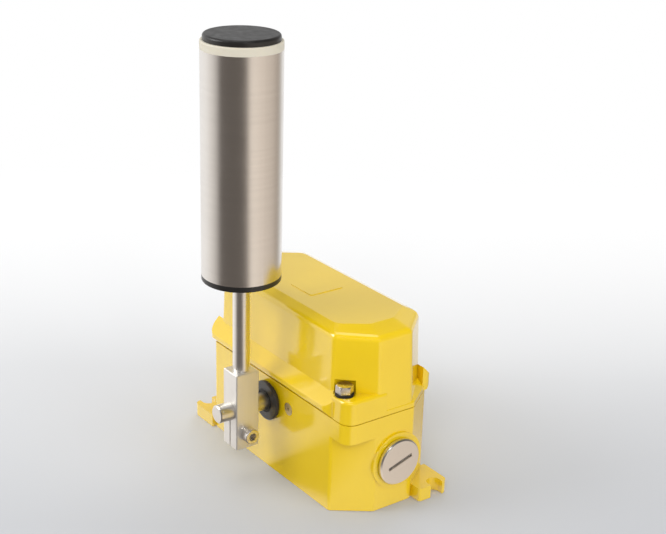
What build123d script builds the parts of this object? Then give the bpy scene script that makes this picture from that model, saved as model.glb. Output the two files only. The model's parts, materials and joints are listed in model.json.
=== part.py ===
from build123d import *
from math import asin, cos, degrees, hypot, radians, sin, tan
import os

# Belt misalignment switch: a cast housing with a cover, and a roller lever on a side shaft.
# Millimetres. X runs along the housing, Y across it, Z up from the mounting surface.
# The origin is the middle of the base's underside. The shaft leaves the housing on the -Y side.

# Housing base
housing_length = 169.6
housing_width = 75.6
side_face_length = 136.0
end_face_width = 29.6
base_height = 65.6
base_wall = 4.5
floor_thickness = 5.0
plan_corner_radius = 3.0

# Mounting feet, at two opposite corners
foot_reach = 7.4
foot_inner_edge = 17.0
foot_thickness = 9.0
foot_outer_edge = 40.6
foot_inner_radius = 2.0
foot_outer_radius = 4.0
foot_root_radius = 3.0
foot_slot_width = 9.5
foot_slot_side = 31.2
foot_bolt_from_tip = 3.2

# Cable entries, one at each end
entry_thread_diameter = 25.0
entry_height = 32.4
entry_side = 2.0
entry_pad_diameter = 38.0
entry_pad_height = 1.3
entry_depth = 10.0
entry_collar_diameter = 34.0

# Cover
gasket_thickness = 0.6
gasket_edge_inset = 1.2
cover_rise = 56.6
roof_rise = 3.4
cover_wall = 3.5
cover_roof = 4.0
cover_foot_half_width = 35.0
cover_top_half_width = 33.7
cover_foot_end_inset = 0.2
cover_top_end_inset = 2.8
cover_foot_side_face = 127.8
cover_foot_end_face = 26.0
cover_top_side_face = 125.6
cover_top_end_face = 24.6
cover_corner_radius = 5.0
roof_end_inset = 17.8
roof_half_width = 26.2
roof_side_face = 111.0
roof_end_face = 19.0
roof_corner_radius = 7.0
shoulder_radius = 4.5
roof_edge_radius = 2.0
rim_slope_reach = 4.6
rim_height = 3.0
flange_reach = 4.4
flange_lip_bottom = 4.6
flange_lip_height = 3.2
flange_lip_radius = 1.3
flange_length = 141.0
flange_end_radius = 7.0
name_pad_length = 24.0
name_pad_width = 26.0
name_pad_height = 0.4
name_pad_x = -1.0
name_pad_y = -1.0

# Cover screws, at the two corners without feet
screw_corner_radius = 8.0
base_ear_height = 13.0
cover_ear_rise = 16.2
cover_ear_edge_radius = 2.2
cover_screw_from_end = 13.8
cover_screw_y = -30.2
cover_screw_diameter = 6.0
cover_screw_length = 29.0
cover_screw_hole = 6.6
hex_head_width = 10.0
hex_head_height = 5.2
cover_washer_diameter = 12.0
cover_washer_thickness = 1.8
spot_face_diameter = 14.4
spot_face_depth = 0.8
screw_head_clearance = 1.0
ear_boss_wall = 3.0

# Shaft and its bearings
shaft_diameter = 12.0
shaft_below_rim = 15.6
shaft_outer_end = -78.6
shaft_groove_depth = 0.7
running_clearance = 0.03
bush_outer_diameter = 16.0
bush_length = 8.0
bush_flange_diameter = 20.0
bush_flange_thickness = 1.5
shaft_boss_diameter = 24.0
shaft_boss_depth = 6.5
ring_thickness = 1.2
ring_width = 2.6
ring_axial_gap = 0.2
ring_opening_angle = 50.0

# Seal around the shaft outside the wall
seal_flange_diameter = 27.0
seal_flange_thickness = 4.0
seal_flange_edge = 0.8
seal_neck_diameter = 22.0
seal_neck_length = 1.8
seal_recess = 0.3
seal_spigot_diameter = 20.0
seal_spigot_length = 3.0
lip_seal_diameter = 16.0
lip_seal_length = 4.0
seal_shaft_clearance = 0.4

# Lever
lever_side = -60.0
clamp_block_width = 16.0
clamp_block_depth = 17.0
clamp_block_above_shaft = 27.6
clamp_block_below_shaft = 25.9
clamp_block_chamfer = 0.5
clamp_slot_width = 1.2
clamp_screw_diameter = 6.0
clamp_screw_drop = 15.6
socket_head_ratio = 1.65
rod_diameter = 11.0
rod_thread_depth = 14.0
rod_end_below_tube = 2.0

# Roller
roller_diameter = 50.0
roller_tube_wall = 2.0
rod_bare_length = 66.8
tube_length = 141.8
bottom_ring_height = 3.8
bottom_spigot_length = 13.0
top_ring_height = 5.2
top_spigot_length = 19.0
cap_diameter = 46.8
cap_height = 3.8
cap_edge_radius = 1.6
cap_spigot_length = 4.5
bearing_outer_diameter = 26.0
bearing_width = 8.0
bearing_ring_wall = 2.1
bearing_ball_diameter = 4.6
bearing_ball_count = 8
bearing_ball_clearance = 0.05
bearing_depth = 2.0
upper_bearing_drop = 14.2
roller_bore = 18.0
seat_clearance = 0.02

# Cams and switches
cam_diameter = 24.0
cam_width = 6.0
cam_spacing = 16.0
cam_notch_depth = 1.5
warning_notch_angle = 10.0
stop_notch_angle = 25.0
set_screw_diameter = 4.0
set_screw_length = 5.0
plunger_gap = 0.3
plunger_diameter = 3.0
plunger_length = 5.0
plunger_showing = 2.0
plunger_travel = 1.0
plunger_clearance = 0.06
switch_depth = 16.0
switch_height = 28.0
switch_thickness = 10.3
switch_hole_spacing = 22.0
switch_hole_inset = 3.0
switch_screw_diameter = 3.0
tab_length = 7.5
tab_width = 4.8
tab_thickness = 0.8
tab_spacing = 10.0

# Switch bracket and the two countersunk screws that hold it to the side wall
bracket_thickness = 2.0
bracket_below_shaft = 17.0
bracket_above_shaft = 12.0
bracket_left = -30.0
bracket_right = 33.0
bracket_boss_clearance = 0.6
wall_screw_side = 21.6
wall_screw_above_shaft = 1.8
wall_screw_diameter = 4.0
wall_screw_head = 8.6
wall_screw_length = 11.0

# Centring spring, its driver on the shaft and its fixed pin
driver_start = 13.6
driver_width = 3.0
driver_diameter = 22.0
driver_pin_radius_from_shaft = 13.5
driver_pin_diameter = 3.0
driver_screw_diameter = 3.0
anchor_pin_radius_from_shaft = 18.5
anchor_pin_depth = 2.5
spring_coil_diameter = 18.0
spring_wire = 1.6
spring_turns = 3
spring_pitch = 1.7
spring_leg_reach = 22.0
spring_leg_gap = 0.1
spring_bend = 1.5

# Terminal block
terminal_x = -52.0
terminal_depth = 24.0
terminal_height = 20.0
terminal_pitch = 8.0
terminal_count = 6
terminal_ear = 8.0
terminal_stand_off = 3.0
terminal_post_diameter = 9.0
terminal_screw_spacing = 12.0
clamp_cage_width = 5.0
clamp_cage_height = 8.0
clamp_cage_lift = 3.0
clamp_cage_floor = 2.6
clamp_cage_inset = 1.5
terminal_screw_diameter = 3.0
terminal_screw_head = 4.2
terminal_screw_head_height = 2.0
terminal_screw_length = 3.0
terminal_screw_lift = 0.4
wire_hole_diameter = 3.6
fixing_screw_diameter = 4.0

# Earth terminal on the floor
earth_x = 50.0
earth_y = -19.0
earth_boss_diameter = 10.0
earth_boss_height = 4.0
earth_screw_diameter = 5.0
earth_washer_width = 12.0
earth_washer_thickness = 1.5

# Plug in the +X cable entry
plug_head_diameter = 31.0
plug_head_thickness = 2.6
plug_head_chamfer = 0.9
plug_thread_length = 8.0
plug_slot_width = 2.4
plug_slot_depth = 1.5
plug_slot_length = 19.0
plug_slot_tilt = 17.5
plug_seal_thickness = 0.8
plug_seal_diameter = 29.0
thread_clearance = 0.05

# Values that follow from the sizes above
half_length = housing_length / 2
half_width = housing_width / 2
foot_bolt_line = half_length + foot_reach - foot_bolt_from_tip
cover_foot_half_length = half_length - cover_foot_end_inset
cover_top_half_length = half_length - cover_top_end_inset
roof_half_length = half_length - roof_end_inset
cover_screw_x = half_length - cover_screw_from_end
spot_face_room = cover_washer_thickness + hex_head_height + screw_head_clearance
corner_run_x = (housing_length - side_face_length) / 2
corner_run_y = (housing_width - end_face_width) / 2
corner_normal_x = corner_run_y / hypot(corner_run_x, corner_run_y)
corner_normal_y = corner_run_x / hypot(corner_run_x, corner_run_y)
corner_reach = corner_normal_x * side_face_length / 2 + corner_normal_y * half_width
cover_bottom = base_height + gasket_thickness
cover_top = base_height + cover_rise
cover_shoulder_height = cover_top - roof_rise
cover_ear_top = base_height + cover_ear_rise
shaft_height = base_height - shaft_below_rim
shaft_radius = shaft_diameter / 2
rod_radius = rod_diameter / 2
inner_wall_y = half_width - base_wall
inner_end_x = half_length - base_wall
pad_face_x = half_length + entry_pad_height
seal_back_y = -half_width
bush_start_y = seal_back_y + seal_spigot_length
front_boss_inner_y = bush_start_y + bush_length
front_flange_y = front_boss_inner_y + bush_flange_thickness
rear_boss_inner_y = inner_wall_y - shaft_boss_depth - 1.0
rear_flange_y = rear_boss_inner_y - bush_flange_thickness
block_bottom = shaft_height - clamp_block_below_shaft
block_top = shaft_height + clamp_block_above_shaft
tube_bottom = block_top + rod_bare_length
tube_top = tube_bottom + tube_length
rod_top = tube_top - rod_end_below_tube
tube_inner_radius = roller_diameter / 2 - roller_tube_wall
lower_bearing_z = tube_bottom + bearing_depth
upper_bearing_z = tube_top - bearing_depth - upper_bearing_drop
cam_face_x = cam_diameter / 2 + plunger_gap
bracket_bottom = shaft_height - bracket_below_shaft
bracket_top = shaft_height + bracket_above_shaft
wall_screw_height = shaft_height + wall_screw_above_shaft
switch_face_x = cam_face_x + plunger_showing
spring_radius = spring_coil_diameter / 2
spring_start_y = driver_start + driver_width + 1.6
terminal_bottom = floor_thickness + terminal_stand_off
terminal_half_length = terminal_count * terminal_pitch / 2 + terminal_ear
terminal_screw_line = terminal_count * terminal_pitch / 2 + terminal_ear / 2
upright = (Align.CENTER, Align.CENTER, Align.MIN)


def box(x_range, y_range, z_range):
    size = [high - low for low, high in (x_range, y_range, z_range)]
    middle = [(high + low) / 2 for low, high in (x_range, y_range, z_range)]
    return Pos(*middle) * Box(*size)


def rod_x(radius, start, end, y, z):
    return Plane((start, y, z), z_dir=(1, 0, 0)).location * Cylinder(radius, end - start, align=upright)


def rod_y(radius, start, end, x, z):
    return Plane((x, start, z), z_dir=(0, 1, 0)).location * Cylinder(radius, end - start, align=upright)


def rod_z(radius, start, end, x, y):
    return Pos(x, y, start) * Cylinder(radius, end - start, align=upright)


def both_corners(shape):
    """The shape and its copy half a turn round, because the housing's corners repeat that way."""
    return [shape, shape.rotate(Axis.Z, 180)]


def fuse_all(first, others):
    for other in others:
        first = first + other
    return first


def cut_all(first, others):
    for other in others:
        first = first - other
    return first


def group(shapes):
    return Compound(children=list(shapes))


def cut_corner_plan(plan_half_length, plan_half_width, side_x, end_y, inset=0.0, radius=0.0, height=0.0):
    """A rectangle with cut corners, moved inwards by the inset. Each cut runs from side_x to end_y."""
    run_x, run_y = plan_half_length - side_x, plan_half_width - end_y
    run = hypot(run_x, run_y)
    reach = (run_y * side_x + run_x * plan_half_width) / run - inset
    inner_length, inner_width = plan_half_length - inset, plan_half_width - inset
    inner_side = (reach * run - run_x * inner_width) / run_y
    inner_end = (reach * run - run_y * inner_length) / run_x
    points = []
    for x_sign, y_sign in ((1, -1), (1, 1), (-1, 1), (-1, -1)):
        near_end = (x_sign * inner_length, y_sign * inner_end)
        near_side = (x_sign * inner_side, y_sign * inner_width)
        points += [near_side, near_end] if x_sign * y_sign < 0 else [near_end, near_side]
    plan = make_face(Polyline(*points, close=True))
    if radius > 0:
        plan = fillet(plan.vertices(), radius)
    return Pos(0, 0, height) * plan


def base_plan(inset=0.0, radius=plan_corner_radius, height=0.0):
    return cut_corner_plan(half_length, half_width, side_face_length / 2, end_face_width / 2, inset, radius,
                           height)


def cover_foot_plan(inset, radius, height):
    return cut_corner_plan(cover_foot_half_length, cover_foot_half_width, cover_foot_side_face / 2,
                           cover_foot_end_face / 2, inset, radius, height)


def cover_top_plan(inset, radius, height):
    return cut_corner_plan(cover_top_half_length, cover_top_half_width, cover_top_side_face / 2,
                           cover_top_end_face / 2, inset, radius, height)


def screw_corner(inset, bottom, top, start_x=side_face_length / 4):
    """Fills one cut corner, where a cover screw stands."""
    fill = box((start_x, half_length - inset), (inset - half_width, -end_face_width / 4), (bottom, top))
    outer_edge = fill.edges().filter_by(Axis.Z).sort_by(Axis.X)[-2:].sort_by(Axis.Y)[0]
    return fillet(outer_edge, screw_corner_radius - inset)


def countersunk_socket_screw(diameter, head_diameter, length):
    """Head flush with Z = 0, shank along -Z."""
    head_depth = (head_diameter - diameter) / 2
    head = Pos(0, 0, -head_depth / 2) * Cone(diameter / 2, head_diameter / 2, head_depth)
    shank = Pos(0, 0, -length) * Cylinder(diameter / 2, length - head_depth, align=upright)
    socket = extrude(Pos(0, 0, -head_depth * 0.8) * RegularPolygon(diameter * 0.3, 6), head_depth)
    return head + shank - socket


def socket_cap_screw(diameter, length):
    """Head on top of Z = 0, shank along -Z."""
    head_radius = diameter * socket_head_ratio / 2
    head = fillet(Cylinder(head_radius, diameter, align=upright).edges().group_by(Axis.Z)[-1],
                  diameter * 0.08)
    shank = Pos(0, 0, -length) * Cylinder(diameter / 2, length, align=upright)
    socket = extrude(Pos(0, 0, diameter * 0.4) * RegularPolygon(diameter * 0.48, 6), diameter)
    return head + shank - socket


def pan_screw(diameter, length, head_diameter, head_height):
    """Slotted head on top of Z = 0, shank along -Z."""
    head = fillet(Cylinder(head_diameter / 2, head_height, align=upright).edges().group_by(Axis.Z)[-1],
                  head_height * 0.3)
    shank = Pos(0, 0, -length) * Cylinder(diameter / 2, length, align=upright)
    slot_width = head_diameter * 0.16
    slot = box((-head_diameter, head_diameter), (-slot_width / 2, slot_width / 2),
               (head_height * 0.55, head_height * 2))
    return head + shank - slot


def hex_screw(diameter, length):
    """Hexagon head on top of Z = 0 with its upper corners turned off, shank along -Z."""
    head = extrude(RegularPolygon(hex_head_width / 2, 6, major_radius=False), hex_head_height)
    turned = Cylinder(hex_head_width * 0.57, hex_head_height, align=upright)
    turned = chamfer(turned.edges().group_by(Axis.Z)[-1], hex_head_width * 0.07)
    shank = Pos(0, 0, -length) * Cylinder(diameter / 2, length, align=upright)
    return (head & turned) + shank


def hex_nut(diameter, height, bore_radius):
    nut = extrude(RegularPolygon(diameter * 0.9, 6, major_radius=False), height)
    return nut - Cylinder(bore_radius, height * 3)


def retaining_ring(bore_radius):
    """Open ring standing on Z = 0 round the Z axis."""
    ring = Cylinder(bore_radius + ring_width, ring_thickness, align=upright)
    ring -= Cylinder(bore_radius, ring_thickness * 3)
    reach = (bore_radius + ring_width) * 2
    half_opening = radians(ring_opening_angle / 2)
    tip = (reach * cos(half_opening), reach * sin(half_opening))
    wedge = make_face(Polyline((0, 0), tip, (tip[0], -tip[1]), close=True))
    return ring - extrude(wedge, ring_thickness * 3, both=True)


def ring_groove(radius, start, end):
    """The stock that a groove takes off a bar along Z."""
    return Pos(0, 0, start) * (Cylinder(radius * 1.5, end - start, align=upright)
                               - Cylinder(radius - shaft_groove_depth, (end - start) * 3))


def along_y(shape, x=0.0, y=0.0, z=0.0):
    """Turns a shape made along +Z to point along +Y, and places it."""
    return Plane((x, y, z), x_dir=(1, 0, 0), z_dir=(0, 1, 0)).location * shape


def along_minus_y(shape, x=0.0, y=0.0, z=0.0):
    return Plane((x, y, z), x_dir=(1, 0, 0), z_dir=(0, -1, 0)).location * shape


def along_x(shape, x=0.0, y=0.0, z=0.0):
    return Plane((x, y, z), x_dir=(0, 1, 0), z_dir=(1, 0, 0)).location * shape


def make_foot():
    """One foot with its open slot, in the place of a cut corner."""
    tip_x = half_length + foot_reach
    foot = box((side_face_length / 2, tip_x), (foot_inner_edge, foot_outer_edge), (0, foot_thickness))
    inner_edge, outer_edge = foot.edges().filter_by(Axis.Z).sort_by(Axis.X)[-2:].sort_by(Axis.Y)
    foot = fillet(inner_edge, foot_inner_radius)
    outer_edge = foot.edges().filter_by(Axis.Z).sort_by(Axis.Y)[-2:].sort_by(Axis.X)[1]
    foot = fillet(outer_edge, foot_outer_radius)
    foot = foot + box((half_length - corner_run_x * 1.5, half_length - corner_run_x / 2),
                      (foot_inner_edge, half_width - 1),
                      (0, foot_thickness))
    slot_end = foot_bolt_line
    slot = rod_z(foot_slot_width / 2, -1, foot_thickness + 1, slot_end, foot_slot_side)
    slot += box((slot_end, tip_x + 1),
                (foot_slot_side - foot_slot_width / 2, foot_slot_side + foot_slot_width / 2),
                (-1, foot_thickness + 1))
    return foot - slot


def make_foot_root():
    """The hollow rounding between a foot and the wall above it."""
    angle = degrees(asin(corner_normal_y))
    reach = foot_root_radius
    length = hypot(corner_run_x, corner_run_y) * 1.5
    strip = box((corner_reach - reach, corner_reach + reach), (-length / 2, length / 2),
                (foot_thickness - reach, foot_thickness + reach))
    strip -= rod_y(reach, -length, length, corner_reach + reach, foot_thickness + reach)
    middle_y = (half_length - corner_run_x / 2 - corner_reach * corner_normal_x) / -corner_normal_y
    strip = (Pos(0, -middle_y, 0) * strip).rotate(Axis.Z, angle)
    room = box((side_face_length / 2, half_length), (end_face_width / 2, half_width),
               (0, foot_thickness * 2))
    return strip & room


def make_housing_base():
    body = extrude(base_plan(), base_height)
    body = fuse_all(body, both_corners(make_foot()) + both_corners(make_foot_root()))
    ear_bottom = base_height - base_ear_height
    body = fuse_all(body, both_corners(screw_corner(0.0, ear_bottom, base_height)))
    body = fuse_all(body, both_corners(rod_x(entry_pad_diameter / 2, inner_end_x, pad_face_x, entry_side,
                                             entry_height)))
    hollow = extrude(base_plan(base_wall, 2.0, floor_thickness), base_height)
    body = body - hollow
    posts = [rod_z(terminal_post_diameter / 2, floor_thickness - 0.5, terminal_bottom, terminal_x, side)
             for side in (-terminal_screw_line, terminal_screw_line)]
    earth_top = floor_thickness + earth_boss_height
    posts.append(rod_z(earth_boss_diameter / 2, floor_thickness - 0.5, earth_top, earth_x, earth_y))
    shaft_bosses = [rod_y(shaft_boss_diameter / 2, -half_width + 0.5, front_boss_inner_y, 0, shaft_height),
                    rod_y(shaft_boss_diameter / 2, rear_boss_inner_y, half_width - 0.5, 0, shaft_height)]
    collars = both_corners(rod_x(entry_collar_diameter / 2, pad_face_x - entry_depth, half_length - 0.5,
                                 entry_side, entry_height))
    screw_boss = rod_z(cover_screw_diameter / 2 + ear_boss_wall, ear_bottom, base_height, cover_screw_x,
                       cover_screw_y)
    body = fuse_all(body, posts + shaft_bosses + collars + both_corners(screw_boss))
    cuts = both_corners(rod_x(entry_thread_diameter / 2, pad_face_x - entry_depth - base_wall,
                              pad_face_x + 1, entry_side, entry_height))
    thread_end = cover_ear_top - spot_face_depth + cover_washer_thickness - cover_screw_length
    cuts += both_corners(rod_z(cover_screw_diameter / 2 + thread_clearance, thread_end - 0.5,
                               base_height + 1,
                               cover_screw_x, cover_screw_y))
    cuts.append(rod_y(seal_spigot_diameter / 2 + seat_clearance, -half_width - 1, bush_start_y, 0,
                      shaft_height))
    cuts.append(rod_y(bush_outer_diameter / 2 + seat_clearance, -half_width - 1, 0, 0, shaft_height))
    cuts.append(rod_y(bush_outer_diameter / 2 + seat_clearance, 0, rear_boss_inner_y + bush_length, 0,
                      shaft_height))
    for side in (-wall_screw_side, wall_screw_side):
        cuts.append(rod_y(wall_screw_diameter / 2 + 0.2, -half_width - 1, -inner_wall_y + 1, side,
                          wall_screw_height))
        head_depth = (wall_screw_head - wall_screw_diameter) / 2
        sink = Cone(wall_screw_diameter / 2 + 0.1, wall_screw_head / 2 + 0.1, head_depth)
        cuts.append(along_minus_y(Pos(0, 0, -head_depth / 2) * sink, side, -half_width, wall_screw_height))
    for side in (-terminal_screw_line, terminal_screw_line):
        cuts.append(rod_z(fixing_screw_diameter / 2 + thread_clearance, 2.0, terminal_bottom + 1,
                          terminal_x, side))
    cuts.append(rod_z(earth_screw_diameter / 2 + thread_clearance, 2.0, earth_top + 1, earth_x, earth_y))
    cuts.append(rod_y(driver_pin_diameter / 2 + seat_clearance, inner_wall_y - 1,
                      inner_wall_y + anchor_pin_depth,
                      0, shaft_height - anchor_pin_radius_from_shaft))
    return cut_all(body, cuts)


def make_cover_gasket():
    plan = base_plan(gasket_edge_inset, 2.0, base_height)
    ring = extrude(plan, gasket_thickness)
    ring = fuse_all(ring, both_corners(screw_corner(gasket_edge_inset, base_height, cover_bottom)))
    ring -= extrude(base_plan(base_wall, 2.0, base_height - 1), gasket_thickness + 2)
    keep = [rod_z(cover_screw_diameter / 2 + ear_boss_wall, base_height, cover_bottom, cover_screw_x,
                  cover_screw_y)]
    ring = fuse_all(ring, both_corners(keep[0]))
    hole = rod_z(cover_screw_hole / 2, base_height - 1, cover_bottom + 1, cover_screw_x, cover_screw_y)
    return cut_all(ring, both_corners(hole))


def cover_shell(wall, roof):
    """The cover's tapered body, moved inwards by a wall and down by a roof thickness."""
    radius = max(cover_corner_radius - wall, 1.5)
    lower = cover_foot_plan(wall, radius, cover_bottom)
    upper = cover_top_plan(wall, radius, cover_shoulder_height - roof)
    return loft([lower.face(), upper.face()], ruled=True)


def make_cover_roof():
    lower = cover_top_plan(0.0, cover_corner_radius, cover_shoulder_height)
    upper = cut_corner_plan(roof_half_length, roof_half_width, roof_side_face / 2, roof_end_face / 2, 0.0,
                            roof_corner_radius, cover_top)
    return loft([lower.face(), upper.face()], ruled=True)


def make_side_flange():
    """The drip edge along one long side, seen along X as a lip between two slopes, with rounded ends."""
    lip_y = half_width + flange_reach
    lip_bottom = cover_bottom + flange_lip_bottom
    lip_top = lip_bottom + flange_lip_height
    root_y = cover_foot_half_width - cover_wall / 2
    slope_end = lip_top + (lip_y - root_y)
    profile = Polyline((root_y, cover_bottom), (half_width, cover_bottom), (lip_y, lip_bottom),
                       (lip_y, lip_top),
                       (root_y, slope_end), close=True)
    face = make_face(Plane.YZ * profile)
    lip_corners = [vertex for vertex in face.vertices() if abs(vertex.Y - lip_y) < 0.01]
    face = fillet(lip_corners, flange_lip_radius)
    flange = Pos(-flange_length / 2, 0, 0) * extrude(face, flange_length, dir=(1, 0, 0))
    outline = box((-flange_length / 2, flange_length / 2), (0, lip_y), (cover_bottom, slope_end))
    outline = fillet(outline.edges().filter_by(Axis.Z).sort_by(Axis.Y)[-2:], flange_end_radius)
    return flange & outline


def make_housing_cover():
    body = cover_shell(0.0, 0.0) + make_cover_roof()
    shoulder = [edge for edge in body.edges()
                if abs(edge.center().Z - cover_shoulder_height) < 0.01
                and edge.bounding_box().size.Z < 0.01]
    body = fillet(shoulder, shoulder_radius)
    roof_edges = [edge for edge in body.edges()
                  if abs(edge.center().Z - cover_top) < 0.01 and edge.bounding_box().size.Z < 0.01]
    body = fillet(roof_edges, roof_edge_radius)
    rim = extrude(base_plan(height=cover_bottom), rim_height)
    slope_foot = base_plan(height=cover_bottom + rim_height)
    slope_end = base_plan(rim_slope_reach, height=cover_bottom + rim_height + rim_slope_reach)
    rim_slope = loft([slope_foot.face(), slope_end.face()], ruled=True)
    flange = make_side_flange()
    body = body + rim + rim_slope + flange + flange.mirror(Plane.XZ)
    ear = screw_corner(0.0, cover_bottom, cover_ear_top, side_face_length / 2)
    ear_top_edges = ear.edges().group_by(Axis.Z)[-1]
    ear = fillet(ear_top_edges.sort_by(Axis.X)[-1:] + ear_top_edges.filter_by(GeomType.CIRCLE)
                 + ear_top_edges.filter_by(Axis.X).sort_by(Axis.Y)[:1], cover_ear_edge_radius)
    body = fuse_all(body, both_corners(ear))
    pad = box((name_pad_x - name_pad_length / 2, name_pad_x + name_pad_length / 2),
              (name_pad_y - name_pad_width / 2, name_pad_y + name_pad_width / 2),
              (cover_top - 1, cover_top + name_pad_height))
    body = body + fillet(pad.edges().filter_by(Axis.Z), 2.0)
    hollow = cover_shell(cover_wall, cover_roof)
    thick_top = cover_ear_top + spot_face_room + cover_wall
    thickening = rod_z(spot_face_diameter / 2 + cover_wall, cover_bottom, thick_top, cover_screw_x,
                       cover_screw_y)
    hollow = cut_all(hollow, both_corners(thickening))
    seat_z = cover_ear_top - spot_face_depth
    spot_face = rod_z(spot_face_diameter / 2, seat_z, cover_ear_top + spot_face_room, cover_screw_x,
                      cover_screw_y)
    screw_hole = rod_z(cover_screw_hole / 2, cover_bottom - 1, cover_ear_top + 1, cover_screw_x,
                       cover_screw_y)
    return cut_all(body - hollow, both_corners(spot_face) + both_corners(screw_hole))


def make_cover_screws():
    seat_z = cover_ear_top - spot_face_depth + cover_washer_thickness
    screw = Pos(cover_screw_x, cover_screw_y, seat_z) * hex_screw(cover_screw_diameter, cover_screw_length)
    return group(both_corners(screw))


def make_cover_screw_washers():
    washer = Cylinder(cover_washer_diameter / 2, cover_washer_thickness, align=upright)
    washer -= Cylinder(cover_screw_diameter / 2 + thread_clearance, cover_washer_thickness * 3)
    washer = Pos(cover_screw_x, cover_screw_y, cover_ear_top - spot_face_depth) * washer
    return group(both_corners(washer))


def make_cable_entry_plug():
    head_start = pad_face_x + plug_seal_thickness
    head_end = head_start + plug_head_thickness
    head = rod_x(plug_head_diameter / 2, head_start, head_end, entry_side, entry_height)
    head = chamfer(head.edges().group_by(Axis.X)[-1], plug_head_chamfer)
    thread = rod_x(entry_thread_diameter / 2 - thread_clearance, head_start - plug_thread_length,
                   head_start,
                   entry_side, entry_height)
    slot = Box(plug_slot_depth * 2, plug_slot_length, plug_slot_width)
    slot = Pos(head_end, entry_side, entry_height) * Rot(plug_slot_tilt, 0, 0) * slot
    return head + thread - slot


def make_plug_seal_ring():
    ring = rod_x(plug_seal_diameter / 2, pad_face_x, pad_face_x + plug_seal_thickness, entry_side,
                 entry_height)
    return ring - rod_x(entry_thread_diameter / 2 + thread_clearance, pad_face_x - 1, pad_face_x + 2,
                        entry_side, entry_height)


def make_shaft_seal_housing():
    front = seal_back_y - seal_flange_thickness
    neck_start = seal_back_y - seal_neck_length
    flange = rod_y(seal_flange_diameter / 2, front, neck_start, 0, shaft_height)
    flange = fillet(flange.edges().group_by(Axis.Y)[0], seal_flange_edge)
    neck = rod_y(seal_neck_diameter / 2, neck_start, seal_back_y, 0, shaft_height)
    spigot = rod_y(seal_spigot_diameter / 2, seal_back_y, bush_start_y, 0, shaft_height)
    seal_seat = rod_y(lip_seal_diameter / 2 + seat_clearance, front - 1, front + lip_seal_length, 0,
                      shaft_height)
    bore = rod_y(shaft_radius + seal_shaft_clearance, front - 1, 0, 0, shaft_height)
    return flange + neck + spigot - seal_seat - bore


def make_shaft_lip_seal():
    front = seal_back_y - seal_flange_thickness
    ring = rod_y(lip_seal_diameter / 2, front + seal_recess, front + lip_seal_length, 0, shaft_height)
    return ring - rod_y(shaft_radius + running_clearance, front - 1, front + lip_seal_length + 1, 0,
                        shaft_height)


def make_bearing_bush(body_start, body_end, flange_end):
    bush = rod_y(bush_outer_diameter / 2, min(body_start, body_end), max(body_start, body_end), 0,
                 shaft_height)
    flange_start = body_end if abs(flange_end - body_end) < abs(flange_end - body_start) else body_start
    bush += rod_y(bush_flange_diameter / 2, min(flange_start, flange_end), max(flange_start, flange_end), 0,
                  shaft_height)
    bore = rod_y(shaft_radius + running_clearance, -half_width - base_wall, half_width + base_wall,
                 0, shaft_height)
    return bush - bore


def shaft_ring_places():
    """Where each retaining ring starts along Y, beside a bush's flange."""
    return (front_flange_y + ring_axial_gap, rear_flange_y - ring_axial_gap - ring_thickness)


def make_actuator_shaft():
    inner_end = rear_boss_inner_y + bush_length - 0.4
    shaft = rod_y(shaft_radius, shaft_outer_end, inner_end, 0, shaft_height)
    shaft = chamfer(shaft.edges().filter_by(GeomType.CIRCLE), 0.6)
    for start in shaft_ring_places():
        groove = ring_groove(shaft_radius, 0, ring_thickness + 0.1)
        shaft -= along_y(groove, 0, start - 0.05, shaft_height)
    return shaft


def make_shaft_retaining_rings():
    ring = retaining_ring(shaft_radius - shaft_groove_depth + seat_clearance)
    return group(along_y(ring, 0, start, shaft_height) for start in shaft_ring_places())


def make_cam(side, notch_angle):
    """A disc on the shaft with a shallow notch, wide as the free swing, that faces the switch."""
    start = side - cam_width / 2
    cam = rod_y(cam_diameter / 2, start, start + cam_width, 0, shaft_height)
    cam -= rod_y(shaft_radius + seat_clearance, start - 1, start + cam_width + 1, 0, shaft_height)
    reach = cam_diameter
    tip = (reach * cos(radians(notch_angle)), reach * sin(radians(notch_angle)))
    sector = make_face(Polyline((0, 0), tip, (tip[0], -tip[1]), close=True))
    sector = extrude(sector, cam_width * 2, both=True)
    notch = (Cylinder(cam_diameter, cam_width * 2) - Cylinder(cam_diameter / 2 - cam_notch_depth,
                                                              cam_width * 3)) & sector
    cam -= along_y(notch, 0, side, shaft_height)
    return cam - rod_x(set_screw_diameter / 2 + thread_clearance, -cam_diameter, 0, side, shaft_height)


def grub_screw(diameter, side):
    """A screw that bears on the shaft from the -X side, with its socket at the outer end."""
    bearing_x = -shaft_radius - seat_clearance
    screw = rod_x(diameter / 2, bearing_x - set_screw_length, bearing_x, side, shaft_height)
    socket = extrude(RegularPolygon(diameter * 0.28, 6), diameter / 2)
    return screw - along_x(socket, bearing_x - set_screw_length, side, shaft_height)


def make_spring_driver():
    end = driver_start + driver_width
    driver = rod_y(driver_diameter / 2, driver_start, end, 0, shaft_height)
    pin_z = shaft_height - driver_pin_radius_from_shaft
    arm_half = driver_pin_diameter
    driver += box((-arm_half, arm_half), (driver_start, end), (pin_z, shaft_height))
    driver += rod_y(arm_half, driver_start, end, 0, pin_z)
    driver -= rod_y(shaft_radius + seat_clearance, driver_start - 1, end + 1, 0, shaft_height)
    pin_end = spring_start_y + spring_turns * spring_pitch + spring_wire
    driver += rod_y(driver_pin_diameter / 2, end, pin_end, 0, pin_z)
    return driver - rod_x(driver_screw_diameter / 2 + thread_clearance, -driver_diameter, 0,
                          driver_start + driver_width / 2, shaft_height)


def make_set_screws():
    screws = [grub_screw(set_screw_diameter, side) for side in (-cam_spacing / 2, cam_spacing / 2)]
    return group(screws + [grub_screw(driver_screw_diameter, driver_start + driver_width / 2)])


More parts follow.
